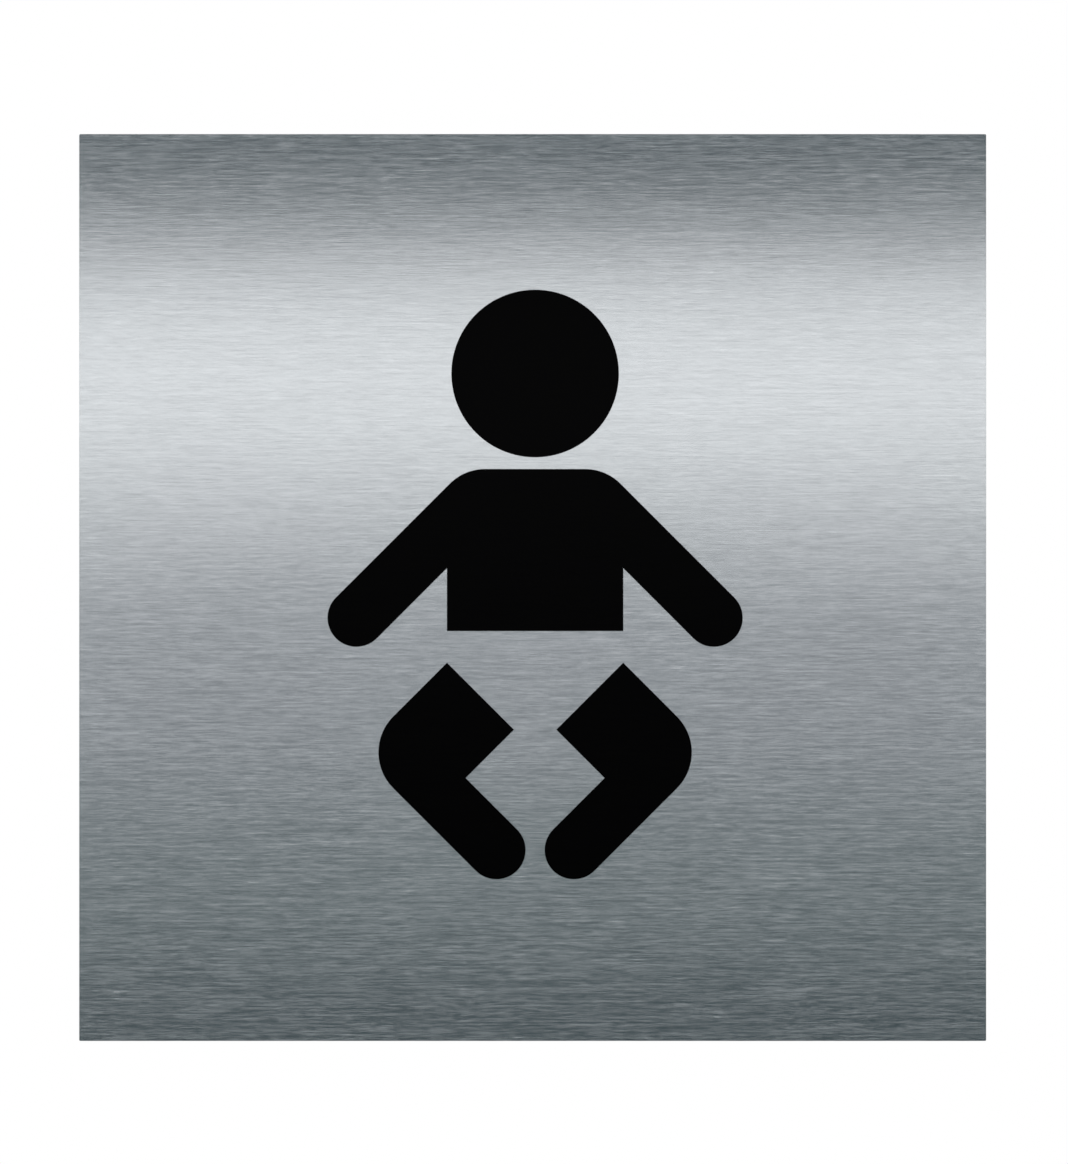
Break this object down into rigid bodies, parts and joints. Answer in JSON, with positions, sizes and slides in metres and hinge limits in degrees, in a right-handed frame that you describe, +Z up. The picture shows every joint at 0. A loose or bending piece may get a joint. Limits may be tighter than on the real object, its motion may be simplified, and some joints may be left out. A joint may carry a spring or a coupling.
{
  "type": "nursery door sign",
  "caption": "Square brushed metal door sign with a black film figure of a baby in a nappy, held to a door by foam tape on its back.",
  "frame": {"origin": "centre of the middle tape strip's door side, in the plane of the door", "axes": "+X right for a person who faces the sign, +Y into the door, +Z up; the front faces -Y"},
  "size_m": [0.15, 0.0031, 0.15],
  "materials": {
    "brushed_plate": "brushed in fine level lines",
    "black_film": "even matte black",
    "foam_tape": "fine closed-cell foam with a tacky face"
  },
  "bodies": {
    "root": {"sign_plate": "brushed_plate", "head_film": "black_film", "torso_film": "black_film", "left_leg_film": "black_film", "right_leg_film": "black_film", "tape_top": "foam_tape", "tape_middle": "foam_tape", "tape_bottom": "foam_tape"}
  },
  "joints": []
}
